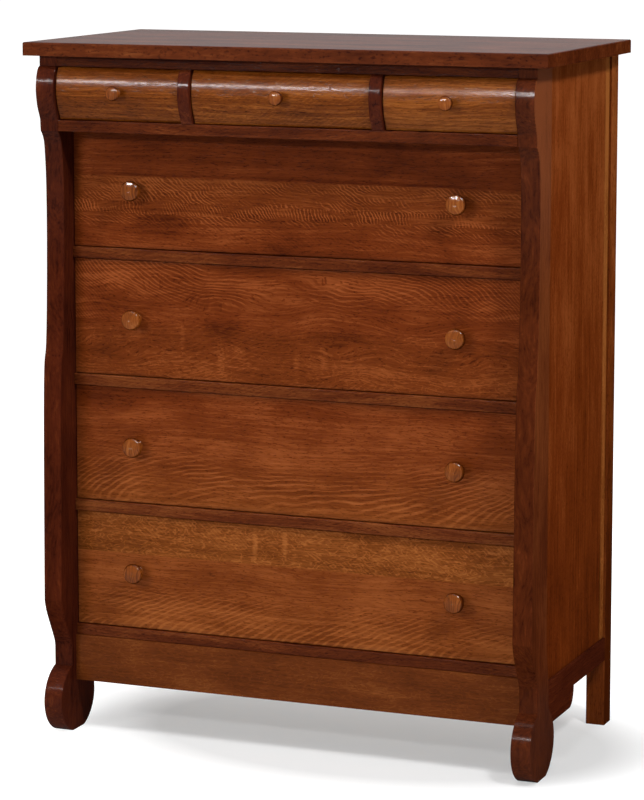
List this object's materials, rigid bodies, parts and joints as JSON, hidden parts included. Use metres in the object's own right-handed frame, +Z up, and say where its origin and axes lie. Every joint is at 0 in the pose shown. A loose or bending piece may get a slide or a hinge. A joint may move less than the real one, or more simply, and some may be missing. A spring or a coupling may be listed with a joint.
{
  "type": "chest of drawers",
  "caption": "Tall oak chest with scroll-sawn front posts on oval feet, small rounded drawers over long flat ones, dovetailed drawer boxes and turned wooden knobs.",
  "frame": {"origin": "on the floor, under the middle of the bounding box", "axes": "+X to the right of someone facing the chest, +Y towards its back, +Z up"},
  "size_m": [1.06, 0.543, 1.372],
  "materials": {
    "top_oak": "quarter-sawn oak, red-brown stain under a glossy lacquer",
    "case_oak": "quarter-sawn oak, red-brown stain under a glossy lacquer",
    "post_oak": "quarter-sawn oak, dark red-brown stain under a glossy lacquer",
    "side_panel_oak": "oak veneer, upright grain, red-brown stain, glossy lacquer",
    "drawer_front_oak": "quarter-sawn oak with ray fleck, orange-brown stain, glossy lacquer",
    "knob_oak": "turned oak, golden-brown stain, glossy lacquer",
    "drawer_box_wood": "planed poplar, clear satin lacquer",
    "drawer_bottom_ply": "thin plywood, clear satin lacquer",
    "inner_wood": "planed poplar, unfinished",
    "back_ply": "thin oak plywood, brown stain, matt"
  },
  "bodies": {
    "case": {"apron": "case_oak", "back_panel": "back_ply", "back_rails": "inner_wood", "bottom_rail": "case_oak", "cornice_rail": "case_oak", "drawer_rail_1": "case_oak", "drawer_rail_2": "case_oak", "drawer_rail_3": "case_oak", "drawer_stops": "inner_wood", "left_bracket": "case_oak", "left_divider": "post_oak", "left_post": "post_oak", "left_rear_leg": "case_oak", "left_side_panel": "side_panel_oak", "left_side_rail": "case_oak", "long_drawer_runners": "inner_wood", "right_bracket": "case_oak", "right_divider": "post_oak", "right_post": "post_oak", "right_rear_leg": "case_oak", "right_side_panel": "side_panel_oak", "right_side_rail": "case_oak", "small_drawer_runners": "inner_wood", "top_rail": "case_oak", "top_slab": "top_oak"},
    "small_drawer_left": {"small_drawer_left_back": "drawer_box_wood", "small_drawer_left_bottom": "drawer_bottom_ply", "small_drawer_left_front": "drawer_front_oak", "small_drawer_left_knob": "knob_oak", "small_drawer_left_sides": "drawer_box_wood"},
    "small_drawer_middle": {"small_drawer_middle_back": "drawer_box_wood", "small_drawer_middle_bottom": "drawer_bottom_ply", "small_drawer_middle_front": "drawer_front_oak", "small_drawer_middle_knob": "knob_oak", "small_drawer_middle_sides": "drawer_box_wood"},
    "small_drawer_right": {"small_drawer_right_back": "drawer_box_wood", "small_drawer_right_bottom": "drawer_bottom_ply", "small_drawer_right_front": "drawer_front_oak", "small_drawer_right_knob": "knob_oak", "small_drawer_right_sides": "drawer_box_wood"},
    "long_drawer_1": {"long_drawer_1_back": "drawer_box_wood", "long_drawer_1_bottom": "drawer_bottom_ply", "long_drawer_1_front": "drawer_front_oak", "long_drawer_1_knobs": "knob_oak", "long_drawer_1_sides": "drawer_box_wood"},
    "long_drawer_2": {"long_drawer_2_back": "drawer_box_wood", "long_drawer_2_bottom": "drawer_bottom_ply", "long_drawer_2_front": "drawer_front_oak", "long_drawer_2_knobs": "knob_oak", "long_drawer_2_sides": "drawer_box_wood"},
    "long_drawer_3": {"long_drawer_3_back": "drawer_box_wood", "long_drawer_3_bottom": "drawer_bottom_ply", "long_drawer_3_front": "drawer_front_oak", "long_drawer_3_knobs": "knob_oak", "long_drawer_3_sides": "drawer_box_wood"},
    "long_drawer_4": {"long_drawer_4_back": "drawer_box_wood", "long_drawer_4_bottom": "drawer_bottom_ply", "long_drawer_4_front": "drawer_front_oak", "long_drawer_4_knobs": "knob_oak", "long_drawer_4_sides": "drawer_box_wood"}
  },
  "joints": [
    {"name": "small_drawer_left_slide", "type": "slide", "parent": "case", "child": "small_drawer_left", "axis": [0, -1, 0], "range_m": [0, 0.34]},
    {"name": "small_drawer_middle_slide", "type": "slide", "parent": "case", "child": "small_drawer_middle", "axis": [0, -1, 0], "range_m": [0, 0.34]},
    {"name": "small_drawer_right_slide", "type": "slide", "parent": "case", "child": "small_drawer_right", "axis": [0, -1, 0], "range_m": [0, 0.34]},
    {"name": "long_drawer_1_slide", "type": "slide", "parent": "case", "child": "long_drawer_1", "axis": [0, -1, 0], "range_m": [0, 0.3]},
    {"name": "long_drawer_2_slide", "type": "slide", "parent": "case", "child": "long_drawer_2", "axis": [0, -1, 0], "range_m": [0, 0.3]},
    {"name": "long_drawer_3_slide", "type": "slide", "parent": "case", "child": "long_drawer_3", "axis": [0, -1, 0], "range_m": [0, 0.3]},
    {"name": "long_drawer_4_slide", "type": "slide", "parent": "case", "child": "long_drawer_4", "axis": [0, -1, 0], "range_m": [0, 0.3]}
  ]
}
